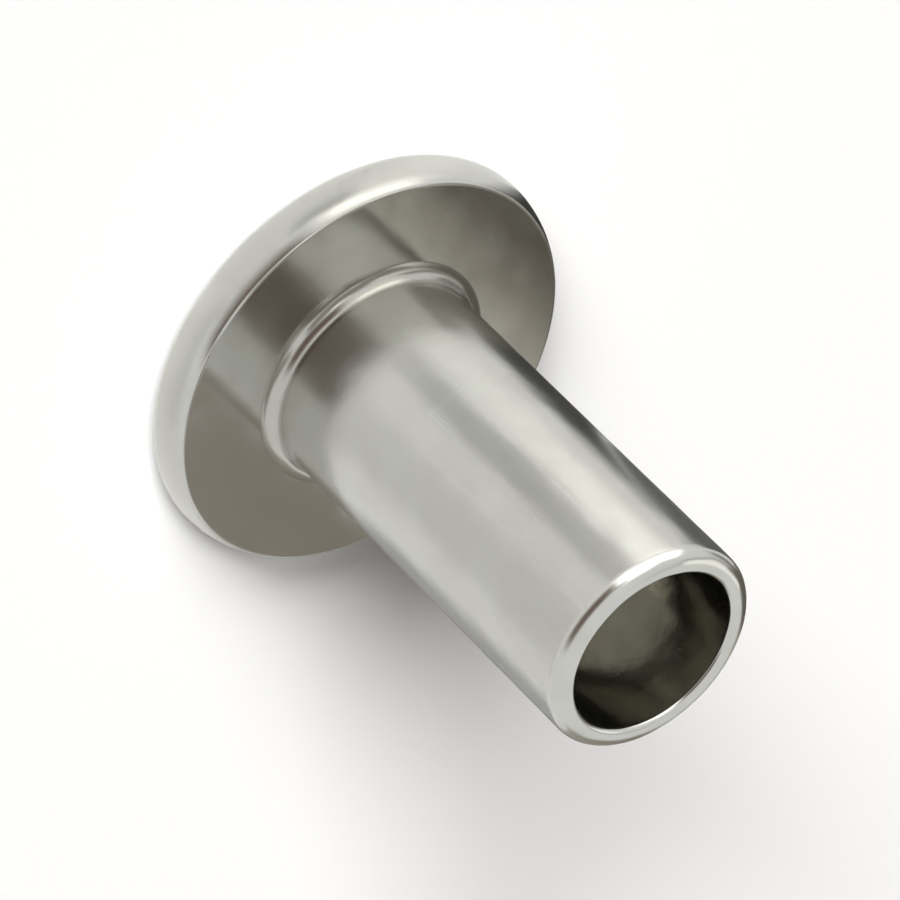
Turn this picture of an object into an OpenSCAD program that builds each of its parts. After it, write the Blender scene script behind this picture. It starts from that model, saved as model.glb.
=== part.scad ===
// Semi-tubular flat-head rivet, in millimetres.
// It stands on its head: the origin is the centre of the head's outer face,
// and +Z runs along the shank to the hollow tip.

/* [Head] */
// Widest diameter of the head
head_d = 10; // [8:0.1:16]
// Thickness of the head
head_h = 1.2; // [0.9:0.05:2.5]
// Rounding of the edge round the head's outer face
face_round = 0.5; // [0.1:0.05:0.8]
// How far the barrelled rim stands out past the edge of the underside
rim_bulge = 0.2; // [0.05:0.01:0.4]
// Rounding of the edge round the underside
under_round = 0.1; // [0.02:0.01:0.3]

/* [Shank] */
// Diameter of the shank
shank_d = 5; // [4.4:0.1:7]
// Length of the shank, from the underside of the head to the tip
shank_len = 10.4; // [6:0.1:30]
// Hollow rounding where the shank meets the head
root_round = 0.35; // [0.05:0.05:0.8]
// Rounding of the outer edge of the tip
tip_round = 0.33; // [0.05:0.05:0.8]

/* [Hole] */
// Diameter of the blind hole in the tip
hole_d = 3.9; // [2:0.1:4.4]
// Depth of the hole's straight wall, from the tip
hole_depth = 4.2; // [1:0.1:8]
// Full angle of the cone at the bottom of the hole, in degrees
cone_angle = 150; // [90:1:170]
// Rounding of the inner edge of the tip
lip_round = 0.12; // [0.02:0.01:0.4]

/* [Hidden] */
// Pale grey of the metal
METAL = [0.56, 0.555, 0.52];
// Straight edges that stand for each full turn
FACETS = 128;
// Overrun of a cut past the surface that it opens
PAST = 1;

total_h = head_h + shank_len;
head_r = head_d / 2;
shank_r = shank_d / 2;
hole_r = hole_d / 2;

// The wall round the hole limits both roundings of the tip
tip_wall = shank_r - hole_r;
tip_outer = min(tip_round, 0.6 * tip_wall);
tip_inner = min(lip_round, 0.25 * tip_wall);

// The rim is widest where the rounding of the outer face ends
widest_z = face_round;
face_flat_r = head_r - face_round;
rim_h = head_h - widest_z;
// Radius of the arc that is upright at the widest ring and falls back by rim_bulge
rim_arc = (rim_h * rim_h + rim_bulge * rim_bulge) / (2 * rim_bulge);
rim_arc_x = head_r - rim_arc;
// The edge rounding touches that arc from inside, and the flat underside
under_x = rim_arc_x + sqrt(pow(rim_arc - under_round, 2) - pow(rim_h - under_round, 2));
under_z = head_h - under_round;
under_touch_z = widest_z + (rim_h - under_round) * rim_arc / (rim_arc - under_round);

hole_floor_z = total_h - hole_depth;
cone_h = hole_r / tan(cone_angle / 2);

// Half section of the head, from the axis out to the barrelled rim
module head_section() {
    // Outer face and the rounding of its edge
    intersection() {
        union() {
            square([face_flat_r, face_round]);
            translate([face_flat_r, face_round]) circle(face_round);
        }
        square([head_r, widest_z]);
    }
    // Rim between the widest ring and the edge of the underside
    intersection() {
        translate([rim_arc_x, widest_z]) circle(rim_arc);
        translate([0, widest_z]) square([head_r, under_touch_z - widest_z]);
    }
    translate([0, widest_z]) square([under_x, rim_h]);
    translate([under_x, under_z]) circle(under_round);
}

// Half section of the hollow rounding under the head
module root_section() {
    translate([shank_r, head_h]) difference() {
        square(root_round);
        translate([root_round, root_round]) circle(root_round);
    }
}

// Half section of the shank, with the rounded outer edge of its tip
module shank_section() {
    translate([0, head_h]) square([shank_r, shank_len - tip_outer]);
    translate([0, head_h]) square([shank_r - tip_outer, shank_len]);
    translate([shank_r - tip_outer, total_h - tip_outer]) circle(tip_outer);
}

// Half section of what the blind hole takes away: wall, cone and rounded mouth
module hole_section() {
    polygon([
        [0, total_h + PAST],
        [hole_r, total_h + PAST],
        [hole_r, hole_floor_z],
        [0, hole_floor_z - cone_h]
    ]);
    translate([hole_r, total_h - tip_inner]) difference() {
        square([tip_inner, tip_inner + PAST]);
        translate([tip_inner, 0]) circle(tip_inner);
    }
}

// The whole rivet, one piece of metal
module rivet() {
    color(METAL) rotate_extrude($fn = FACETS) difference() {
        union() {
            head_section($fn = FACETS);
            root_section($fn = FACETS);
            shank_section($fn = FACETS);
        }
        hole_section($fn = FACETS);
    }
}

rivet();
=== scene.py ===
"""Looks of a flat-head semi-tubular rivet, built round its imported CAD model.

The rivet stands on its head at the origin and its shank runs up +Z. Lengths in the dataclasses are in
millimetres and angles in degrees; both are turned into metres and radians where Blender needs them.
"""

import logging
import math
from dataclasses import dataclass, field
from enum import Enum
from typing import Any

import bpy
import numpy as np
from mathutils import Matrix, Vector


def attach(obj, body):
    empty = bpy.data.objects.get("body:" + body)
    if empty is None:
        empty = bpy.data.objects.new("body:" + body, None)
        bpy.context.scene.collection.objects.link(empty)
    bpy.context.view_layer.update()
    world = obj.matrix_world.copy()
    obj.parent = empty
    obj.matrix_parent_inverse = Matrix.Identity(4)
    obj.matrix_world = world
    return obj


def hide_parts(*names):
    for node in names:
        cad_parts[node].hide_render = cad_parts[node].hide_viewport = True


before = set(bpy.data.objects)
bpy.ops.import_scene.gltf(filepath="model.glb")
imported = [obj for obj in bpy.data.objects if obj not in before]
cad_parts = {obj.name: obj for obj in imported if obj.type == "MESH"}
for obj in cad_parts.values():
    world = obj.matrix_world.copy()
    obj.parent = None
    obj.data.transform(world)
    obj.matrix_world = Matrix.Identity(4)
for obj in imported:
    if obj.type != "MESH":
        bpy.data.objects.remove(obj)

LOG = logging.getLogger("rivet")
MM = 0.001

# Two numbers, such as a radius and a height, or the two ends of a range
Pair = tuple[float, float]
# Red, green and blue
Rgb = tuple[float, float, float]
# Light at the first and at the last side of a card
SideLight = tuple[Rgb, Rgb]


class Zone(Enum):
    """Stretch of the rivet's surface that has one finish."""

    FACE = 0
    RIM = 1
    UNDERSIDE = 2
    ROOT = 3
    SHANK = 4
    TIP = 5
    HOLE = 6


@dataclass(frozen=True)
class RivetSizes:
    """Sizes of the rivet, the same named values as in the part's source, in millimetres."""

    head_d: float = 10.0
    head_h: float = 1.2
    face_round: float = 0.5
    rim_bulge: float = 0.2
    under_round: float = 0.1
    shank_d: float = 5.0
    shank_len: float = 10.4
    root_round: float = 0.35
    tip_round: float = 0.33
    hole_d: float = 3.9
    hole_depth: float = 4.2
    cone_angle: float = 150.0
    lip_round: float = 0.12

    @property
    def head_r(self) -> float:
        """Largest radius of the head."""
        return self.head_d / 2

    @property
    def shank_r(self) -> float:
        """Radius of the shank."""
        return self.shank_d / 2

    @property
    def hole_r(self) -> float:
        """Radius of the blind hole."""
        return self.hole_d / 2

    @property
    def total_h(self) -> float:
        """Height from the head's outer face to the tip."""
        return self.head_h + self.shank_len

    @property
    def hole_floor(self) -> float:
        """Height at which the hole's straight wall ends."""
        return self.total_h - self.hole_depth

    @property
    def cone_tip(self) -> float:
        """Height of the point of the cone below the hole."""
        return self.hole_floor - self.hole_r / math.tan(math.radians(self.cone_angle / 2))


@dataclass(frozen=True)
class Steps:
    """Number of intervals in each line and arc of the half section."""

    face: int = 14
    face_edge: int = 14
    rim: int = 14
    under_edge: int = 7
    underside: int = 22
    root: int = 12
    shank: int = 84
    tip: int = 14
    tip_flat: int = 3
    lip: int = 8
    wall: int = 30
    cone: int = 16


@dataclass(frozen=True)
class Stretch:
    """One line or arc of the half section, with the zone that it belongs to."""

    zone: Zone
    points: np.ndarray


def straight(start: Pair, end: Pair, steps: int) -> np.ndarray:
    """Points on a straight line, close together at both ends.

    The share of the way is half of one minus the cosine of an angle that runs evenly from 0 to pi.

    Args:
        start: Radius and height of the first point, in millimetres.
        end: Radius and height of the last point.
        steps: Number of intervals.

    Returns:
        An array of steps + 1 rows of radius and height.
    """
    share = 0.5 - 0.5 * np.cos(np.linspace(0.0, np.pi, steps + 1))
    return np.outer(1 - share, start) + np.outer(share, end)


def arc(centre: Pair, radius: float, start: float, end: float, steps: int) -> np.ndarray:
    """Points on an arc: the centre plus the radius times the cosine and sine of an even angle.

    Args:
        centre: Radius and height of the arc's centre, in millimetres.
        radius: Radius of the arc.
        start: First angle in degrees, 0 away from the axis and 90 towards the tip.
        end: Last angle in degrees.
        steps: Number of intervals.

    Returns:
        An array of steps + 1 rows of radius and height.
    """
    turn = np.radians(np.linspace(start, end, steps + 1))
    return np.array(centre) + radius * np.stack([np.cos(turn), np.sin(turn)], axis=-1)


@dataclass
class HalfSection:
    """The rivet's half section, from the centre of the outer face round to the point of the cone."""

    sizes: RivetSizes
    steps: Steps = Steps()

    def rim(self) -> list[Stretch]:
        """The head's edge: rounding of the face, barrelled rim and rounding of the underside.

        The rim is an arc that is upright at the widest ring and falls back by rim_bulge. The small
        rounding touches it from inside and also touches the underside.

        Returns:
            The stretches in order.
        """
        s = self.sizes
        rim_h = s.head_h - s.face_round
        rim_arc = (rim_h**2 + s.rim_bulge**2) / (2 * s.rim_bulge)
        arc_x = s.head_r - rim_arc
        under_x = arc_x + math.sqrt((rim_arc - s.under_round) ** 2 - (rim_h - s.under_round) ** 2)
        touch = math.degrees(math.atan2(rim_h - s.under_round, under_x - arc_x))
        edge_centre = (s.head_r - s.face_round, s.face_round)
        under_centre = (under_x, s.head_h - s.under_round)
        return [
            Stretch(Zone.RIM, arc(edge_centre, s.face_round, -90, 0, self.steps.face_edge)),
            Stretch(Zone.RIM, arc((arc_x, s.face_round), rim_arc, 0, touch, self.steps.rim)),
            Stretch(Zone.RIM, arc(under_centre, s.under_round, touch, 90, self.steps.under_edge)),
        ]

    def head(self) -> list[Stretch]:
        """Outer face, rim and underside of the head, as far as the hollow rounding at the root.

        Returns:
            The stretches in order.
        """
        s = self.sizes
        face = straight((0, 0), (s.head_r - s.face_round, 0), self.steps.face)
        edge = self.rim()
        inner = (s.shank_r + s.root_round, s.head_h)
        under = straight(tuple(edge[-1].points[-1]), inner, self.steps.underside)
        return [Stretch(Zone.FACE, face), *edge, Stretch(Zone.UNDERSIDE, under)]

    def shank(self) -> list[Stretch]:
        """Hollow rounding at the root, straight shank and the rounded outer edge of the tip.

        Returns:
            The stretches in order.
        """
        s = self.sizes
        root_centre = (s.shank_r + s.root_round, s.head_h + s.root_round)
        tip_centre = (s.shank_r - s.tip_round, s.total_h - s.tip_round)
        low = (s.shank_r, s.head_h + s.root_round)
        high = (s.shank_r, s.total_h - s.tip_round)
        return [
            Stretch(Zone.ROOT, arc(root_centre, s.root_round, 270, 180, self.steps.root)),
            Stretch(Zone.SHANK, straight(low, high, self.steps.shank)),
            Stretch(Zone.TIP, arc(tip_centre, s.tip_round, 0, 90, self.steps.tip)),
        ]

    def hole(self) -> list[Stretch]:
        """Flat ring of the tip, rounded lip, straight wall and cone of the blind hole.

        Returns:
            The stretches in order.
        """
        s = self.sizes
        tip_edge = (s.shank_r - s.tip_round, s.total_h)
        lip_edge = (s.hole_r + s.lip_round, s.total_h)
        lip_centre = (s.hole_r + s.lip_round, s.total_h - s.lip_round)
        wall_top = (s.hole_r, s.total_h - s.lip_round)
        wall_foot = (s.hole_r, s.hole_floor)
        return [
            Stretch(Zone.TIP, straight(tip_edge, lip_edge, self.steps.tip_flat)),
            Stretch(Zone.TIP, arc(lip_centre, s.lip_round, 90, 180, self.steps.lip)),
            Stretch(Zone.HOLE, straight(wall_top, wall_foot, self.steps.wall)),
            Stretch(Zone.HOLE, straight(wall_foot, (0, s.cone_tip), self.steps.cone)),
        ]

    def joined(self) -> tuple[np.ndarray, np.ndarray]:
        """All stretches as one line.

        Returns:
            The points, and the number of the zone of each interval between two points.
        """
        stretches = [*self.head(), *self.shank(), *self.hole()]
        points = [stretches[0].points[:1]]
        zones: list[int] = []
        for stretch in stretches:
            points.append(stretch.points[1:])
            zones.extend([stretch.zone.value] * (len(stretch.points) - 1))
        return np.vstack(points), np.array(zones)


@dataclass
class Surface:
    """The half section carried round the axis, with the small unevenness that tumbling leaves.

    A wave's count round the axis is below around_limit; along_spread is the spread of wave numbers
    along the section, in radians per millimetre. A dent's depth is a share of its size. crease_reach
    is how near in height and in radius a point of the ring between wall and cone lies to it.
    """

    section: HalfSection
    columns: int = 360
    seed: int = 11
    waves: int = 70
    wave_slope: float = 0.011
    wave_gain: float = 1.4
    around_limit: int = 22
    along_spread: float = 2.6
    least_steep: float = 0.8
    dents: int = 60
    dent_size: Pair = (0.16, 0.4)
    dent_share: Pair = (0.004, 0.016)
    crease_reach: Pair = (0.02, 0.05)

    def unevenness(self, turn: np.ndarray, run: np.ndarray, radius: np.ndarray) -> np.ndarray:
        """Height of the slow waves on the metal.

        It is a sum of cosines of (a whole number times the angle, plus a wave number times the length
        along the section, plus a phase), each divided by its own steepness, so that it closes on
        itself round the axis and all waves slope alike. Nearer to the axis than the hole's wall it
        fades with the square of the radius.

        Args:
            turn: Angle round the axis, in radians.
            run: Length along the section, in millimetres.
            radius: Distance from the axis, in millimetres.

        Returns:
            The height in millimetres.
        """
        draw = np.random.default_rng(self.seed)
        around = draw.integers(0, self.around_limit, self.waves)
        along = draw.normal(0.0, self.along_spread, self.waves)
        phase = draw.uniform(0, 2 * np.pi, self.waves)
        steep = np.hypot(around / self.section.sizes.shank_r, along) + self.least_steep
        share = self.wave_slope / math.sqrt(self.waves) * self.wave_gain / steep
        argument = turn[..., None] * around + run[..., None] * along + phase
        height = (np.cos(argument) * share).sum(axis=-1)
        return height * np.clip(radius / self.section.sizes.hole_r, 0.0, 1.0) ** 2

    def nicks(self, places: np.ndarray) -> np.ndarray:
        """Depth of small round dents from tumbling.

        It is a sum of bell curves: a depth times e to the power of minus the squared distance from
        the dent's middle over the square of its size.

        Args:
            places: Points of the surface, in millimetres.

        Returns:
            The depth in millimetres, 0 or more.
        """
        draw = np.random.default_rng(self.seed + 1)
        flat = places.reshape(-1, 3)
        rows = draw.integers(0, len(flat), self.dents)
        middle = flat[rows]
        wide = draw.uniform(*self.dent_size, self.dents)
        deep = wide * draw.uniform(*self.dent_share, self.dents)
        depth = np.zeros(len(flat))
        for centre, size, amount in zip(middle, wide, deep):
            apart = ((flat - centre) ** 2).sum(axis=1)
            depth += amount * np.exp(-apart / size**2)
        return depth.reshape(places.shape[:-1])

    def build(self, name: str) -> bpy.types.Object:
        """Makes the piece: rings of points joined by four-sided faces, closed at both poles.

        A point is (radius cos turn, radius sin turn, height), moved in along the normal by the dents
        and the waves, which are kept at or below the true surface. The outer face stays flat.

        Args:
            name: Name of the new object.

        Returns:
            The object, with its zones as material numbers and a map of the section.
        """
        points, zones = self.section.joined()
        ring = points[1:-1]
        step = np.gradient(points, axis=0)[1:-1]
        normal = np.stack([step[:, 1], -step[:, 0]], axis=-1)
        normal /= np.linalg.norm(normal, axis=1)[:, None]
        length = np.concatenate([[0.0], np.cumsum(np.linalg.norm(np.diff(points, axis=0), axis=1))])
        turn = np.linspace(0, 2 * np.pi, self.columns, endpoint=False)
        turns, runs = np.meshgrid(turn, length[1:-1])
        radii = np.repeat(ring[:, :1], self.columns, axis=1)
        radial = np.stack([np.cos(turns), np.sin(turns), np.zeros_like(turns)], axis=-1)
        outward = radial * normal[:, None, :1]
        outward[..., 2] = normal[:, None, 1]
        places = radial * radii[..., None]
        places[..., 2] = ring[:, None, 1]
        waves = self.unevenness(turns, runs, radii)
        sink = waves - waves.max() - self.nicks(places)
        flat_face = (zones[:-1] == Zone.FACE.value)[:, None]
        places = places + outward * np.where(flat_face, 0.0, sink)[..., None]

        poles = np.array([[0, 0, points[0, 1]], [0, 0, points[-1, 1]]])
        coordinates = np.vstack([poles[:1], places.reshape(-1, 3), poles[1:]]) * MM
        mesh = self.mesh(name, coordinates, len(ring), zones)
        layer = mesh.uv_layers.new(name="section")
        layer.data.foreach_set("uv", self.section_map(length).astype(np.float32))
        mesh.shade_smooth()
        self.crease(mesh)
        return new_object(name, mesh)

    def mesh(self, name: str, coordinates: np.ndarray, rings: int, zones: np.ndarray) -> bpy.types.Mesh:
        """Puts points and faces into a mesh.

        The faces are a fan round the first pole, then rows of four-sided faces, then a fan round the
        last pole.

        Args:
            name: Name of the new mesh.
            coordinates: First pole, all rings and last pole, in metres.
            rings: Number of rings.
            zones: Zone of each interval of the section.

        Returns:
            The mesh, with the zones as material numbers.
        """
        count = self.columns
        column = np.arange(count)
        after = (column + 1) % count
        low = 1 + np.arange(rings - 1)[:, None] * count
        quads = np.stack([low + column, low + after, low + count + after, low + count + column], axis=-1)
        quads = quads.reshape(-1, 4)
        first = np.stack([np.zeros(count, int), 1 + after, 1 + column], axis=-1)
        top = 1 + (rings - 1) * count
        last = np.stack([top + column, top + after, np.full(count, len(coordinates) - 1)], axis=-1)
        corners = np.concatenate([first.ravel(), quads.ravel(), last.ravel()])
        sizes = np.concatenate([np.full(count, 3), np.full(len(quads), 4), np.full(count, 3)])
        starts = np.concatenate([[0], np.cumsum(sizes)[:-1]])

        mesh = bpy.data.meshes.new(name)
        mesh.vertices.add(len(coordinates))
        mesh.vertices.foreach_set("co", coordinates.astype(np.float32).ravel())
        mesh.loops.add(len(corners))
        mesh.loops.foreach_set("vertex_index", corners.astype(np.int32))
        mesh.polygons.add(len(sizes))
        mesh.polygons.foreach_set("loop_start", starts.astype(np.int32))
        mesh.polygons.foreach_set("material_index", np.repeat(zones, count).astype(np.int32))
        mesh.update(calc_edges=True)
        mesh.validate()
        return mesh

    def section_map(self, length: np.ndarray) -> np.ndarray:
        """Map of the surface: the share of a full turn across, and of the section's length along.

        Args:
            length: Length along the section at each of its points, in millimetres.

        Returns:
            Both shares for each corner of each face, in the order of the faces, as one row.
        """
        across = np.linspace(0, 1, self.columns + 1)
        left, right = across[:-1], across[1:]
        middle = (left + right) / 2
        run = length / length[-1]
        low, high = run[1:-2, None], run[2:-1, None]
        first_fan = ((middle, run[0]), (right, run[1]), (left, run[1]))
        rows = ((left, low), (right, low), (right, high), (left, high))
        last_fan = ((left, run[-2]), (right, run[-2]), (middle, run[-1]))
        parts = []
        for corners in (first_fan, rows, last_fan):
            pairs = [np.stack(np.broadcast_arrays(x, y), axis=-1) for x, y in corners]
            parts.append(np.stack(pairs, axis=-2).ravel())
        return np.concatenate(parts)

    def crease(self, mesh: bpy.types.Mesh) -> None:
        """Marks the ring where the hole's wall meets the cone as sharp.

        Args:
            mesh: The rivet's mesh.
        """
        s = self.section.sizes
        ends = np.empty(len(mesh.edges) * 2, np.int32)
        mesh.edges.foreach_get("vertices", ends)
        spots = np.empty(len(mesh.vertices) * 3, np.float32)
        mesh.vertices.foreach_get("co", spots)
        spots = spots.reshape(-1, 3) / MM
        radius = np.hypot(spots[:, 0], spots[:, 1])
        height_reach, radius_reach = self.crease_reach
        near_height = np.abs(spots[:, 2] - s.hole_floor) < height_reach
        near_wall = np.abs(radius - s.hole_r) < radius_reach
        sharp = (near_height & near_wall)[ends.reshape(-1, 2)].all(axis=1)
        layer = mesh.attributes.new("sharp_edge", "BOOLEAN", "EDGE")
        layer.data.foreach_set("value", sharp)


def new_object(name: str, data: Any) -> bpy.types.Object:
    """Makes an object of a mesh, lamp or camera and puts it into the scene.

    Args:
        name: Name of the object.
        data: Its mesh, lamp or camera.

    Returns:
        The object.
    """
    made = bpy.data.objects.new(name, data)
    bpy.context.scene.collection.objects.link(made)
    return made


class Nodes:
    """Short way to place and join shader nodes in one tree."""

    def __init__(self, tree: bpy.types.NodeTree) -> None:
        """Keeps the tree that the nodes go into."""
        self.tree = tree

    def add(self, kind: str, values: dict[Any, Any] | None = None, **settings: Any) -> bpy.types.Node:
        """Places one node.

        Args:
            kind: Blender's name of the node type.
            values: Input name or number, and the value or socket that goes into it.
            settings: Properties of the node, set before its inputs.

        Returns:
            The node.
        """
        node = self.tree.nodes.new(kind)
        for name, value in settings.items():
            setattr(node, name, value)
        for key, value in (values or {}).items():
            self.put(value, node.inputs[key])
        return node

    def put(self, value: Any, socket: bpy.types.NodeSocket) -> None:
        """Joins a socket, or sets a plain value, on an input.

        Args:
            value: The output to join, or the value to set.
            socket: The input.
        """
        if isinstance(value, bpy.types.NodeSocket):
            self.tree.links.new(value, socket)
        else:
            socket.default_value = value

    def group(self, tree: bpy.types.NodeTree, values: dict[str, Any]) -> bpy.types.Node:
        """Places a shared group with its own values."""
        return self.add("ShaderNodeGroup", values, node_tree=tree)

    def math(self, operation: str, *values: Any, clamp: bool = False) -> bpy.types.NodeSocket:
        """Result of a Math node on up to three values."""
        node = self.add("ShaderNodeMath", dict(enumerate(values)), operation=operation, use_clamp=clamp)
        return node.outputs[0]

    def vector(self, operation: str, *values: Any) -> bpy.types.Node:
        """A Vector Math node on up to three values."""
        return self.add("ShaderNodeVectorMath", dict(enumerate(values)), operation=operation)

    def noise(self, place: Any, scale: Any, detail: float, roughness: float) -> bpy.types.NodeSocket:
        """Value of a Noise texture, between 0 and 1."""
        values = {"Vector": place, "Scale": scale, "Detail": detail, "Roughness": roughness}
        return self.add("ShaderNodeTexNoise", values).outputs[0]

    def ramp(
        self, value: Any, low: Any, high: Any, to_low: float = 0.0, to_high: float = 1.0
    ) -> bpy.types.NodeSocket:
        """A value carried smoothly from the range low to high to another, and kept inside it."""
        node = self.add(
            "ShaderNodeMapRange",
            {"Value": value, "From Min": low, "From Max": high, "To Min": to_low, "To Max": to_high},
            interpolation_type="SMOOTHSTEP",
        )
        return node.outputs["Result"]

    def mix(self, share: Any, first: Any, second: Any) -> bpy.types.NodeSocket:
        """A colour between two colours."""
        node = self.add("ShaderNodeMix", {0: share, 6: first, 7: second}, data_type="RGBA")
        return node.outputs[2]


def new_group(
    name: str, inputs: dict[str, tuple[str, Any]], outputs: dict[str, str]
) -> tuple[Nodes, bpy.types.Node, bpy.types.Node]:
    """Starts a shader node group with named sockets.

    Args:
        name: Name of the group.
        inputs: Name of each input with its socket type and starting value.
        outputs: Name of each output with its socket type.

    Returns:
        The helper for its nodes, its input node and its output node.
    """
    tree = bpy.data.node_groups.new(name, "ShaderNodeTree")
    for title, (kind, value) in inputs.items():
        socket = tree.interface.new_socket(title, in_out="INPUT", socket_type=kind)
        socket.default_value = value
    for title, kind in outputs.items():
        tree.interface.new_socket(title, in_out="OUTPUT", socket_type=kind)
    nodes = Nodes(tree)
    return nodes, nodes.add("NodeGroupInput"), nodes.add("NodeGroupOutput")


def new_material(name: str) -> tuple[bpy.types.Material, Nodes]:
    """Starts a material without nodes.

    Args:
        name: Name of the material.

    Returns:
        The material, and the helper for its nodes.
    """
    made = bpy.data.materials.new(name)
    made.use_nodes = True
    made.node_tree.nodes.clear()
    return made, Nodes(made.node_tree)


FLOAT = "NodeSocketFloat"
VECTOR = "NodeSocketVector"


@dataclass
class Effects:
    """The node groups that the finishes share, each built once.

    There are cells_per_mark cells of pits to a dimple's width. Only a cell whose random number is
    above pit_rarity has a pit, which reaches out by pit_reach of the cell's size.
    """

    cells_per_mark: float = 2.7
    pit_reach: float = 0.3
    pit_rarity: float = 0.93
    cloud_range: Pair = (0.34, 0.66)

    def __post_init__(self) -> None:
        """Builds the groups."""
        self.drawn = self.build_drawn()
        self.tumbled = self.build_tumbled()
        self.cloudy = self.build_cloudy()

    def build_drawn(self) -> bpy.types.NodeTree:
        """Fine lines along the shank, from drawing the wire: noise that is stretched along the axis.

        Returns:
            The group, which puts out the height of the lines.
        """
        nodes, given, result = new_group(
            "drawn_lines",
            {"Position": (VECTOR, (0, 0, 0)), "Fineness": (FLOAT, 14.0), "Stretch": (FLOAT, 0.05)},
            {"Height": FLOAT},
        )
        shape = nodes.add("ShaderNodeCombineXYZ", {0: 1.0, 1: 1.0, 2: given.outputs["Stretch"]})
        place = nodes.vector("MULTIPLY", given.outputs["Position"], shape.outputs[0]).outputs[0]
        lines = nodes.noise(place, given.outputs["Fineness"], detail=3.0, roughness=0.6)
        nodes.put(lines, result.inputs["Height"])
        return nodes.tree

    def build_tumbled(self) -> bpy.types.NodeTree:
        """Soft dimples and small pits of tumbled metal: slow noise, with cell centres sunk into it.

        Returns:
            The group, which puts out the height and a mask of the pits.
        """
        nodes, given, result = new_group(
            "tumbled_marks",
            {"Position": (VECTOR, (0, 0, 0)), "Fineness": (FLOAT, 3.0), "Pits": (FLOAT, 0.3)},
            {"Height": FLOAT, "Pit": FLOAT},
        )
        place = given.outputs["Position"]
        slow = nodes.noise(place, given.outputs["Fineness"], detail=2.0, roughness=0.45)
        scale = nodes.math("MULTIPLY", given.outputs["Fineness"], self.cells_per_mark)
        cells = nodes.add("ShaderNodeTexVoronoi", {"Vector": place, "Scale": scale}, feature="F1")
        pit = nodes.ramp(cells.outputs["Distance"], 0.0, self.pit_reach, 1.0, 0.0)
        chance = nodes.add("ShaderNodeSeparateColor", {0: cells.outputs["Color"]}).outputs[0]
        rare = nodes.math("GREATER_THAN", chance, self.pit_rarity)
        pit = nodes.math("MULTIPLY", pit, rare)
        sunk = nodes.math("MULTIPLY", pit, given.outputs["Pits"])
        nodes.put(nodes.math("SUBTRACT", slow, sunk), result.inputs["Height"])
        nodes.put(pit, result.inputs["Pit"])
        return nodes.tree

    def build_cloudy(self) -> bpy.types.NodeTree:
        """Faint cloudiness of handled metal: slow noise, spread to run from 0 to 1.

        Returns:
            The group, which puts out the cloudiness.
        """
        nodes, given, result = new_group(
            "handled_cloud",
            {"Position": (VECTOR, (0, 0, 0)), "Fineness": (FLOAT, 0.7)},
            {"Cloud": FLOAT},
        )
        slow = nodes.noise(
            given.outputs["Position"], given.outputs["Fineness"], detail=2.0, roughness=0.5
        )
        nodes.put(nodes.ramp(slow, *self.cloud_range), result.inputs["Cloud"])
        return nodes.tree


@dataclass(frozen=True)
class MetalFinish:
    """One finish of the rivet's metal. Heights are in millimetres.

    Cloudiness and pits dull the metal by their shares: towards dull_color, and by rougher. A
    colour darker than the rest of the metal, as at the root and in the hole, is painted shade.
    """

    name: str
    color: Rgb = (0.555, 0.557, 0.524)
    dull_color: Rgb = (0.505, 0.502, 0.468)
    roughness: float = 0.2
    rougher: float = 0.06
    line_height: float = 0.0
    line_fineness: float = 14.0
    line_stretch: float = 0.05
    mark_height: float = 0.0
    mark_fineness: float = 3.0
    pits: float = 0.3
    cloud_fineness: float = 0.7
    cloud_share: float = 0.6
    pit_share: float = 0.4

    def material(self, effects: Effects) -> bpy.types.Material:
        """Makes the material.

        Args:
            effects: The shared node groups.

        Returns:
            A material with metal colour, roughness and surface height from the shared groups.
        """
        made, nodes = new_material(self.name)
        place = nodes.vector("SCALE", nodes.add("ShaderNodeTexCoord").outputs["Object"])
        place.inputs["Scale"].default_value = 1 / MM
        position = place.outputs[0]
        cloud = nodes.group(effects.cloudy, {"Position": position, "Fineness": self.cloud_fineness})
        marks = nodes.group(
            effects.tumbled,
            {"Position": position, "Fineness": self.mark_fineness, "Pits": self.pits},
        )
        lines = nodes.group(
            effects.drawn,
            {"Position": position, "Fineness": self.line_fineness, "Stretch": self.line_stretch},
        )
        height = nodes.math(
            "ADD",
            nodes.math("MULTIPLY", marks.outputs["Height"], self.mark_height),
            nodes.math("MULTIPLY", lines.outputs["Height"], self.line_height),
        )
        bump = nodes.add("ShaderNodeBump", {"Strength": 1.0, "Distance": MM, "Height": height})
        dull = nodes.math("MULTIPLY", cloud.outputs["Cloud"], self.cloud_share)
        pitted = nodes.math("MULTIPLY", marks.outputs["Pit"], self.pit_share)
        dull = nodes.math("ADD", dull, pitted, clamp=True)
        color = nodes.mix(dull, (*self.color, 1.0), (*self.dull_color, 1.0))
        rough = nodes.math("MULTIPLY_ADD", dull, self.rougher, self.roughness)
        shader = nodes.add(
            "ShaderNodeBsdfPrincipled",
            {"Base Color": color, "Metallic": 1.0, "Roughness": rough, "Normal": bump.outputs[0]},
        )
        nodes.add("ShaderNodeOutputMaterial", {"Surface": shader.outputs[0]})
        return made


# Finish of each zone; the darker colours of the root and the hole are painted shade
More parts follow.
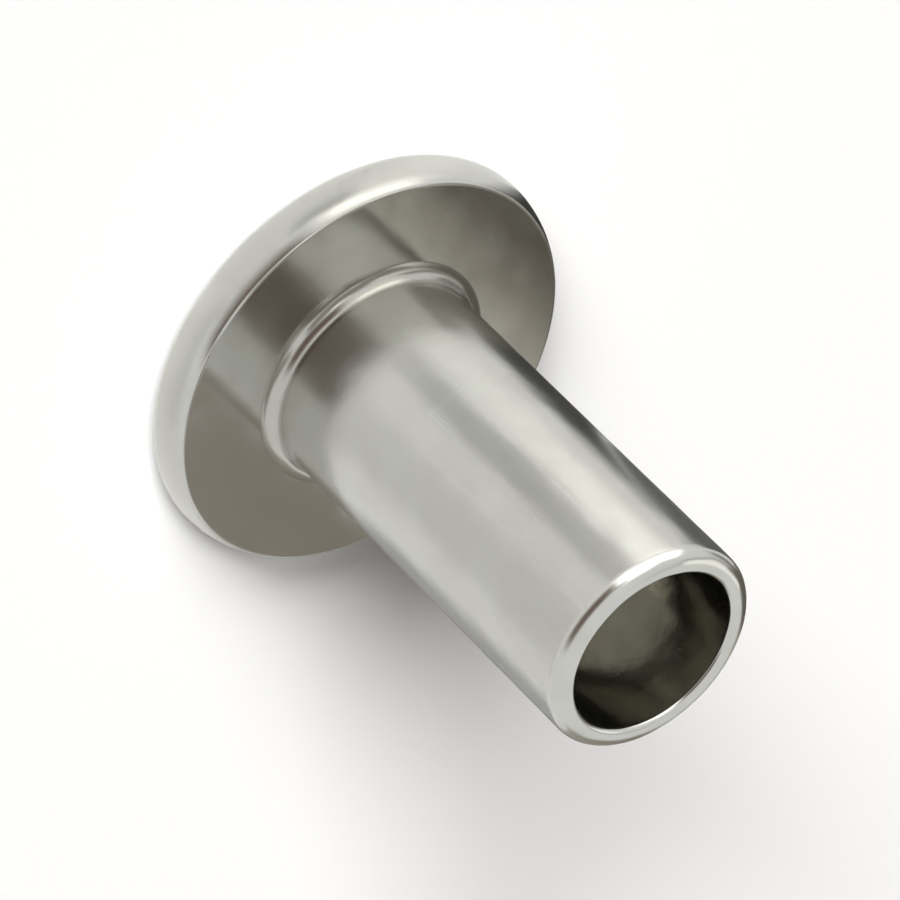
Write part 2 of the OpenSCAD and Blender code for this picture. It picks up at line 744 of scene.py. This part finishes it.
FINISHES_AND_PAINTED_SHADE: dict[Zone, MetalFinish] = {
    Zone.FACE: MetalFinish("face_metal", mark_height=0.002, mark_fineness=4.0),
    Zone.RIM: MetalFinish("rim_metal", mark_height=0.002, mark_fineness=4.0),
    Zone.UNDERSIDE: MetalFinish("underside_metal", roughness=0.12, mark_height=0.0012),
    # Darker colour and dull colour than the rest of the metal: painted shade that dims the ring in the
    # crease at the root
    Zone.ROOT: MetalFinish(
        "root_metal_painted_shade",
        color=(0.49, 0.485, 0.45),
        dull_color=(0.43, 0.42, 0.385),
        roughness=0.18,
        mark_height=0.001,
        mark_fineness=4.0,
    ),
    Zone.SHANK: MetalFinish(
        "shank_metal",
        roughness=0.22,
        rougher=0.045,
        mark_height=0.005,
        mark_fineness=1.5,
        line_height=0.004,
        line_fineness=5.0,
        line_stretch=0.03,
        pits=0.2,
    ),
    Zone.TIP: MetalFinish("tip_metal", roughness=0.18, mark_height=0.0015, mark_fineness=4.0),
    # Darker, warmer colour and dull colour than the rest of the metal: painted shade inside the hole
    Zone.HOLE: MetalFinish(
        "hole_metal_painted_shade",
        color=(0.525, 0.515, 0.465),
        dull_color=(0.46, 0.45, 0.405),
        roughness=0.16,
        mark_height=0.006,
        mark_fineness=2.6,
    ),
}


@dataclass
class Rivet:
    """The whole rivet: one piece of metal in place of the CAD node."""

    name: str = "rivet_metal"
    node: str = "rivet"
    sizes: RivetSizes = field(default_factory=RivetSizes)

    def build(self) -> bpy.types.Object:
        """Builds, dresses and registers the piece.

        Returns:
            The piece.
        """
        piece = Surface(HalfSection(self.sizes)).build(self.name)
        effects = Effects()
        for zone in Zone:
            piece.data.materials.append(FINISHES_AND_PAINTED_SHADE[zone].material(effects))
        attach(piece, "root")
        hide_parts(self.node)
        return piece


@dataclass(frozen=True)
class Panel:
    """A flat soft-edged panel of the studio, far off in one direction.

    It lies towards an azimuth, which is 0 at the camera's side and grows anticlockwise seen from
    above, and an elevation above the floor. Half its width, half its height and its soft edge are
    angles too.
    """

    towards: Pair
    half_size: Pair
    softness: float
    light: Rgb


DARK = (0.0, 0.0, 0.0)
WHITE = (1.0, 1.0, 1.0, 1.0)
# Shares of the light that a card lets through
SOLID = (0.0, 0.0)
CLEAR = (1.0, 1.0)


@dataclass(frozen=True)
class Card:
    """A soft-edged sheet of gauze near the rivet, which only mirrors show.

    It lets a share of what lies behind it through, and adds its own light. Both are given for its
    first and its last side. The two softs are the shares of its way across and along over which its
    edges fade. The corners have x towards the camera's side.
    """

    name: str
    corners: tuple[tuple[float, float, float], ...]
    clear: Pair = SOLID
    light: SideLight = (DARK, DARK)
    soft: Pair = (0.2, 0.1)
    one_sided: bool = False


def evenly(red: float, green: float, blue: float) -> SideLight:
    """The same light at both sides of a card."""
    return ((red, green, blue), (red, green, blue))


def floor_card(
    name: str,
    angles: Pair,
    reach: Pair,
    height: float,
    clear: Pair,
    light: SideLight = (DARK, DARK),
    soft: Pair = (0.3, 0.12),
) -> Card:
    """Card just above the floor that the shank mirrors as a straight band between two angles.

    A point of the shank at an angle mirrors what lies ahead of it at twice that angle, so each side
    of the card starts below the shank at its angle and runs out at twice that angle.

    Args:
        name: Name of the card.
        angles: Angles round the shank of the band's two sides, in degrees from the camera's side.
        reach: Distances at which the card starts and ends, in millimetres.
        height: Height of the card above the floor.
        clear: Share that it lets through at both sides.
        light: Its own light at both sides.
        soft: Shares of its width and of its length over which its edges fade.

    Returns:
        The card.
    """
    radius = RivetSizes().shank_r
    near, far = reach
    first, last = angles
    corners = []
    for angle, run in ((first, near), (last, near), (last, far), (first, far)):
        turn = math.radians(angle)
        x = radius * math.cos(turn) + run * math.cos(2 * turn)
        y = radius * math.sin(turn) + run * math.sin(2 * turn)
        corners.append((x, y, height))
    return Card(name, tuple(corners), clear, light, soft)


def upright_card(name: str, start: Pair, end: Pair, heights: Pair, light: SideLight, soft: Pair) -> Card:
    """Solid card that stands over a straight line.

    Args:
        name: Name of the card.
        start: Place of its first side, in millimetres.
        end: Place of its last side.
        heights: Heights of its lower and upper edge.
        light: Its own light at both sides.
        soft: Shares of its width and of its height over which its edges fade.

    Returns:
        The card.
    """
    low, high = heights
    corners = ((*start, low), (*end, low), (*end, high), (*start, high))
    return Card(name, corners, light=light, soft=soft)


# Light of the sheets over the head
ROOT_SHADE = evenly(0.36, 0.34, 0.30)


def root_shade(name: str, sides: Pair, inner: Pair, outer: Pair) -> Card:
    """Dim sheet over the head, seen from below only, which keeps the ring at the root narrow.

    It rises outward from the shank, so that only steep rays from the root meet it.

    Args:
        name: Name of the card.
        sides: Angles of its two sides, in degrees from the camera's side.
        inner: Distance from the axis and height of its inner edge, in millimetres.
        outer: Distance and height of its outer edge.

    Returns:
        The card.
    """
    first, last = sides
    corners = []
    for side, (radius, height) in ((first, inner), (last, inner), (last, outer), (first, outer)):
        turn = math.radians(side)
        corners.append((radius * math.cos(turn), radius * math.sin(turn), height))
    return Card(name, tuple(corners), light=ROOT_SHADE, soft=(0.06, 0.12), one_sided=True)


@dataclass(frozen=True)
class Sun:
    """A wide soft lamp that is far off. Its spread is the full angle that its disc fills."""

    name: str
    towards: Pair
    spread: float
    strength: float


SUNS: tuple[Sun, ...] = (
    Sun("low_sun", towards=(-12, 17), spread=30, strength=6.3),
    Sun("high_sun", towards=(-18, 50), spread=24, strength=1.36),
)

PANELS: tuple[Panel, ...] = (
    Panel(towards=(-58, 22), half_size=(24, 16), softness=8, light=(1.2, 1.18, 1.13)),
    Panel(towards=(-58, -10), half_size=(24, 22), softness=8, light=(2.4, 2.37, 2.25)),
    Panel(towards=(-155, -6), half_size=(36, 18), softness=10, light=(0.13, 0.13, 0.11)),
    Panel(towards=(-146, 36), half_size=(14, 16), softness=10, light=(0.20, 0.19, 0.16)),
    Panel(towards=(14, 30), half_size=(34, 20), softness=9, light=(0.22, 0.165, 0.14)),
)

CARDS: tuple[Card, ...] = (
    # Bands that the shank mirrors from the floor
    floor_card("left_glow", (-22, -48), (6.5, 30), 0.02, CLEAR, evenly(0.38, 0.375, 0.355), (0.4, 0.4)),
    floor_card("near_glow", (-20, -50), (3.0, 16), 0.025, CLEAR, evenly(0.15, 0.15, 0.14), (0.4, 0.1)),
    floor_card("tip_glow", (-7, -46), (18, 60), 0.03, CLEAR, evenly(0.58, 0.57, 0.545), (0.25, 0.05)),
    floor_card("left_flag", (-54, -110), (4.2, 17), 0.035, (0.05, 0.05), soft=(0.22, 0.06)),
    floor_card("left_gauze", (-54, -110), (16, 60), 0.037, (0.14, 0.14), soft=(0.22, 0.06)),
    floor_card("front_gauze", (-6, -26), (2.8, 40), 0.04, (0.62, 0.62)),
    floor_card("right_gauze", (6, 44), (2.8, 40), 0.05, (0.84, 0.84)),
    floor_card("back_gauze", (58, 96), (4.5, 40), 0.06, (0.48, 0.48)),
    # Flags and a glow behind the rivet, which the head mirrors
    upright_card(
        "right_flag", start=(-15, -5.2), end=(-15, -2.4), heights=(3, 19.5),
        light=((0.05, 0.04, 0.03), (0.58, 0.545, 0.475)), soft=(0.04, 0.12),
    ),
    upright_card(
        "right_shade", start=(-15.3, -13), end=(-15.3, -4.9), heights=(2, 19.5),
        light=evenly(0.17, 0.157, 0.132), soft=(0.04, 0.12),
    ),
    upright_card(
        "far_flag", start=(-15, 2.2), end=(-15, 15), heights=(3, 19.5),
        light=((0.29, 0.26, 0.22), (0.52, 0.50, 0.45)), soft=(0.02, 0.12),
    ),
    Card(
        "back_glow",
        corners=((-18, 6, 0.08), (-18, -12, 0.08), (-48, -24, 0.08), (-48, 12, 0.08)),
        clear=CLEAR,
        light=evenly(0.5, 0.49, 0.46),
        soft=(0.2, 0.15),
    ),
    # Sheets over the head, which the root mirrors
    root_shade("root_shade_front", sides=(-55, 15), inner=(3.0, 4.9), outer=(8.0, 7.6)),
    root_shade("root_shade_left", sides=(-104, -35), inner=(3.0, 4.9), outer=(8.0, 7.6)),
    root_shade("root_shade_right", sides=(45, 135), inner=(4.0, 8.0), outer=(14.0, 15.3)),
    Card(
        "root_shade_far_left",
        corners=((-6, -5.2, 4.0), (2, -5.2, 4.0), (2, -9.5, 5.2), (-6, -9.5, 5.2)),
        light=ROOT_SHADE,
        soft=(0.1, 0.12),
        one_sided=True,
    ),
    # Lights that the rounded tip mirrors
    upright_card(
        "tip_box", start=(10.5, -5.5), end=(5.0, -12.0), heights=(16, 28),
        light=evenly(2.7, 2.66, 2.57), soft=(0.25, 0.25),
    ),
    upright_card(
        "tip_side", start=(0.9, -10.4), end=(10.2, -2.2), heights=(9.8, 18),
        light=evenly(2.3, 2.26, 2.18), soft=(0.16, 0.16),
    ),
    upright_card(
        "tip_sky", start=(-16, -3.9), end=(-7.9, -13), heights=(17, 30),
        light=evenly(1.5, 1.48, 1.43), soft=(0.25, 0.2),
    ),
)


@dataclass
class Studio:
    """Pale floor, white surroundings, cards and panels, two soft suns, and the camera.

    The camera's turn is that of its picture, and fill the share of its side that the rivet's outline
    takes. The ambient colour is what the surroundings add to dull surfaces. The floor lies floor_drop
    under the rivet; paper is its colour, and paper_lift its own light where it is background.
    """

    camera_azimuth: float = -90.0
    camera_elevation: float = 37.5
    camera_turn: float = 134.7
    camera_distance: float = 150.0
    camera_clip: Pair = (10.0, 5000.0)
    fill: float = 0.66
    sensor: float = 36.0
    outline_angles: int = 180
    centring_rounds: int = 3
    floor_half: float = 800.0
    floor_drop: float = 0.01
    paper: float = 0.9
    paper_lift: float = 0.03
    ambient: Rgb = (0.16, 0.149, 0.136)
    card_steps: int = 24
    sun_distance: float = 100.0
    suns: tuple[Sun, ...] = SUNS
    panels: tuple[Panel, ...] = PANELS
    cards: tuple[Card, ...] = CARDS

    def direction(self, azimuth: float, elevation: float) -> Vector:
        """Direction of a place far off.

        Args:
            azimuth: Angle round the rivet, in degrees from the camera's side.
            elevation: Angle above the floor, in degrees.

        Returns:
            The unit vector towards it.
        """
        turn = math.radians(azimuth + self.camera_azimuth)
        rise = math.radians(elevation)
        flat = math.cos(rise)
        return Vector((flat * math.cos(turn), flat * math.sin(turn), math.sin(rise)))

    def build_panel_group(self) -> bpy.types.NodeTree:
        """Group that says how much of a direction a flat panel covers.

        The direction's parts along the panel's width and height, each over its part towards the
        panel's middle, are the tangents of its angles; each is faded at the panel's edge.

        Returns:
            The group.
        """
        nodes, given, result = new_group(
            "studio_panel",
            {
                "Direction": (VECTOR, (0, 0, 0)),
                "Middle": (VECTOR, (0, 0, 1)),
                "Across": (VECTOR, (1, 0, 0)),
                "Up": (VECTOR, (0, 1, 0)),
                "Half width": (FLOAT, 1.0),
                "Half height": (FLOAT, 1.0),
                "Soft": (FLOAT, 0.1),
            },
            {"Cover": FLOAT},
        )
        way = given.outputs["Direction"]
        ahead = nodes.vector("DOT_PRODUCT", way, given.outputs["Middle"]).outputs["Value"]
        cover = nodes.math("GREATER_THAN", ahead, 0.0)
        above_zero = nodes.math("MAXIMUM", ahead, 0.001)
        for axis, half in (("Across", "Half width"), ("Up", "Half height")):
            part = nodes.vector("DOT_PRODUCT", way, given.outputs[axis]).outputs["Value"]
            angle = nodes.math("ARCTAN2", nodes.math("ABSOLUTE", part), above_zero)
            low = nodes.math("SUBTRACT", given.outputs[half], given.outputs["Soft"])
            high = nodes.math("ADD", given.outputs[half], given.outputs["Soft"])
            cover = nodes.math("MULTIPLY", cover, nodes.ramp(angle, low, high, 1.0, 0.0))
        nodes.put(cover, result.inputs["Cover"])
        return nodes.tree

    @staticmethod
    def background_seen(nodes: Nodes) -> bpy.types.NodeSocket:
        """Says where a ray shows the background: from the camera, a mirror or through glass.

        Args:
            nodes: Helper of the tree that asks.

        Returns:
            1 for such a ray, and 0 for any other.
        """
        path = nodes.add("ShaderNodeLightPath")
        seen = nodes.math("MAXIMUM", path.outputs["Is Camera Ray"], path.outputs["Is Glossy Ray"])
        return nodes.math("MAXIMUM", seen, path.outputs["Is Transmission Ray"])

    def build_world(self) -> None:
        """Makes white surroundings for the camera and for mirrors, which see the panels over them."""
        world = bpy.data.worlds.new("studio")
        bpy.context.scene.world = world
        world.use_nodes = True
        world.node_tree.nodes.clear()
        nodes = Nodes(world.node_tree)
        way = nodes.add("ShaderNodeTexCoord").outputs["Generated"]
        light: Any = WHITE
        group = self.build_panel_group()
        for panel in self.panels:
            azimuth, elevation = panel.towards
            half_width, half_height = panel.half_size
            middle = self.direction(azimuth, elevation)
            across = self.direction(azimuth + 90, 0)
            cover = nodes.group(
                group,
                {
                    "Direction": way,
                    "Middle": middle,
                    "Across": across,
                    "Up": middle.cross(across),
                    "Half width": math.radians(half_width),
                    "Half height": math.radians(half_height),
                    "Soft": math.radians(panel.softness),
                },
            )
            light = nodes.mix(cover.outputs[0], light, (*panel.light, 1))
        camera = nodes.add("ShaderNodeLightPath").outputs["Is Camera Ray"]
        light = nodes.mix(camera, light, WHITE)
        light = nodes.mix(self.background_seen(nodes), (*self.ambient, 1), light)
        shader = nodes.add("ShaderNodeBackground", {"Color": light, "Strength": 1.0})
        nodes.add("ShaderNodeOutputWorld", {0: shader.outputs[0]})

    def build_floor(self) -> None:
        """Makes the plain pale floor, which keeps the rivet's shadow in every kind of ray."""
        half = self.floor_half * MM
        level = -self.floor_drop * MM
        corners = [(-half, -half), (half, -half), (half, half), (-half, half)]
        mesh = bpy.data.meshes.new("floor")
        mesh.from_pydata([(x, y, level) for x, y in corners], [], [(0, 1, 2, 3)])
        made, nodes = new_material("floor_paper")
        paper = nodes.add("ShaderNodeBsdfDiffuse", {"Color": (self.paper, self.paper, self.paper, 1)})
        strength = nodes.math("MULTIPLY", self.background_seen(nodes), self.paper_lift)
        lift = nodes.add("ShaderNodeEmission", {"Strength": strength})
        both = nodes.add("ShaderNodeAddShader", {0: paper.outputs[0], 1: lift.outputs[0]})
        nodes.add("ShaderNodeOutputMaterial", {0: both.outputs[0]})
        mesh.materials.append(made)
        floor = new_object("floor", mesh)

    def card_mesh(self, card: Card) -> bpy.types.Mesh:
        """Grid between a card's four corners.

        A point is the corners weighted by the shares of the way across and along.

        Args:
            card: The card.

        Returns:
            The mesh, with both shares as its map.
        """
        turn = math.radians(self.camera_azimuth)
        corner = np.array(card.corners) * MM
        x = corner[:, 0] * math.cos(turn) - corner[:, 1] * math.sin(turn)
        y = corner[:, 0] * math.sin(turn) + corner[:, 1] * math.cos(turn)
        corner = np.stack([x, y, corner[:, 2]], axis=-1)
        steps = self.card_steps
        share = np.linspace(0, 1, steps + 1)
        u, v = np.meshgrid(share, share)
        weights = np.stack([(1 - u) * (1 - v), u * (1 - v), u * v, (1 - u) * v], axis=-1)
        places = (weights[..., None] * corner).sum(axis=-2).reshape(-1, 3)
        start = (np.arange(steps)[:, None] * (steps + 1) + np.arange(steps)).ravel()
        faces = np.stack([start, start + 1, start + steps + 2, start + steps + 1], axis=-1)
        mesh = bpy.data.meshes.new(card.name)
        mesh.from_pydata(places.tolist(), [], faces.tolist())
        layer = mesh.uv_layers.new(name="card")
        shares = np.stack([u.ravel(), v.ravel()], axis=-1)[faces.ravel()]
        layer.data.foreach_set("uv", shares.astype(np.float32).ravel())
        return mesh

    @staticmethod
    def card_material(card: Card) -> bpy.types.Material:
        """Gauze of a card: part clear, part light, and fading to nothing at its edges.

        Args:
            card: The card.

        Returns:
            The material.
        """
        made, nodes = new_material(card.name)
        split = nodes.add("ShaderNodeSeparateXYZ", {0: nodes.add("ShaderNodeTexCoord").outputs["UV"]})
        cover: Any = 1.0
        for part, soft in zip(split.outputs, card.soft):
            cover = nodes.math("MULTIPLY", cover, nodes.ramp(part, 0.0, soft))
            cover = nodes.math("MULTIPLY", cover, nodes.ramp(part, 1.0 - soft, 1.0, 1.0, 0.0))
        if card.one_sided:
            behind = nodes.add("ShaderNodeNewGeometry").outputs["Backfacing"]
            cover = nodes.math("MULTIPLY", cover, nodes.math("SUBTRACT", 1.0, behind))
        across = split.outputs[0]
        first, last = ((*light, 1) for light in card.light)
        shine = nodes.add("ShaderNodeEmission", {"Color": nodes.mix(across, first, last)})
        first, last = ((share, share, share, 1) for share in card.clear)
        gauze = nodes.add("ShaderNodeBsdfTransparent", {"Color": nodes.mix(across, first, last)})
        sheer = nodes.add("ShaderNodeAddShader", {0: gauze.outputs[0], 1: shine.outputs[0]})
        open_air = nodes.add("ShaderNodeBsdfTransparent")
        both = nodes.add("ShaderNodeMixShader", {0: cover, 1: open_air.outputs[0], 2: sheer.outputs[0]})
        nodes.add("ShaderNodeOutputMaterial", {0: both.outputs[0]})
        return made

    def build_card(self, card: Card) -> None:
        """Makes one card, which only mirrors show.

        Args:
            card: The card.
        """
        mesh = self.card_mesh(card)
        mesh.materials.append(self.card_material(card))
        sheet = new_object(card.name, mesh)
        sheet.visible_camera = False
        sheet.visible_diffuse = False
        sheet.visible_shadow = False

    def build_sun(self, sun: Sun) -> None:
        """Makes a sun, which gives the floor its light and shadow; mirrors don't show its disc.

        Args:
            sun: The sun.
        """
        data = bpy.data.lights.new(sun.name, "SUN")
        data.energy = sun.strength
        data.angle = math.radians(sun.spread)
        lamp = new_object(sun.name, data)
        way = self.direction(*sun.towards)
        lamp.location = way * (self.sun_distance * MM)
        lamp.rotation_euler = way.to_track_quat("Z", "Y").to_euler()
        lamp.visible_glossy = False

    def outline_points(self, sizes: RivetSizes) -> np.ndarray:
        """Points all over the rivet: (radius cos angle, radius sin angle, height).

        Args:
            sizes: Sizes of the rivet.

        Returns:
            One row for each point, in metres.
        """
        points, _ = HalfSection(sizes).joined()
        angle = np.linspace(0, 2 * np.pi, self.outline_angles)
        radius, height = points[:, :1], points[:, 1:]
        level = np.broadcast_to(height, (len(points), self.outline_angles))
        cloud = np.stack([radius * np.cos(angle), radius * np.sin(angle), level], axis=-1)
        return cloud.reshape(-1, 3) * MM

    def build_camera(self, sizes: RivetSizes) -> None:
        """Camera at the photograph's angle, turned so that the shank points right and down.

        It looks at the middle of the rivet's outline as it sees it, and its lens makes the longer
        side of that outline a set share of the picture.

        Args:
            sizes: Sizes of the rivet.
        """
        back = self.direction(0, self.camera_elevation)
        side = self.direction(90, 0)
        rise = back.cross(side)
        turn = math.radians(self.camera_turn)
        up = rise * math.cos(turn) - side * math.sin(turn)
        right = rise * math.sin(turn) + side * math.cos(turn)
        distance = self.camera_distance * MM
        cloud = self.outline_points(sizes)
        place = Vector((0, 0, sizes.total_h / 2 * MM)) + back * distance
        for _ in range(self.centring_rounds):
            away = cloud - np.array(place)
            depth = -(away @ np.array(back))
            u = away @ np.array(right) / depth
            v = away @ np.array(up) / depth
            place += right * float((u.max() + u.min()) / 2 * distance)
            place += up * float((v.max() + v.min()) / 2 * distance)
        span = max(float(np.ptp(u)), float(np.ptp(v)))
        data = bpy.data.cameras.new("camera")
        data.sensor_width = self.sensor
        data.lens = self.sensor * self.fill / span
        data.clip_start, data.clip_end = (limit * MM for limit in self.camera_clip)
        camera = new_object("camera", data)
        turned = Matrix((right, up, back)).transposed()
        camera.matrix_world = Matrix.Translation(place) @ turned.to_4x4()
        bpy.context.scene.camera = camera

    def build(self, sizes: RivetSizes) -> None:
        """Builds the whole studio.

        Args:
            sizes: Sizes of the rivet that the camera frames.
        """
        bpy.context.scene.view_settings.view_transform = "Standard"
        self.build_world()
        self.build_floor()
        for card in self.cards:
            self.build_card(card)
        for sun in self.suns:
            self.build_sun(sun)
        self.build_camera(sizes)


def main() -> None:
    logging.basicConfig(level=logging.INFO, format="%(name)s: %(message)s")
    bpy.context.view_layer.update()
    rivet = Rivet()
    piece = rivet.build()
    LOG.info("%s: %d faces", piece.name, len(piece.data.polygons))
    Studio().build(rivet.sizes)


if __name__ == "__main__":
    main()
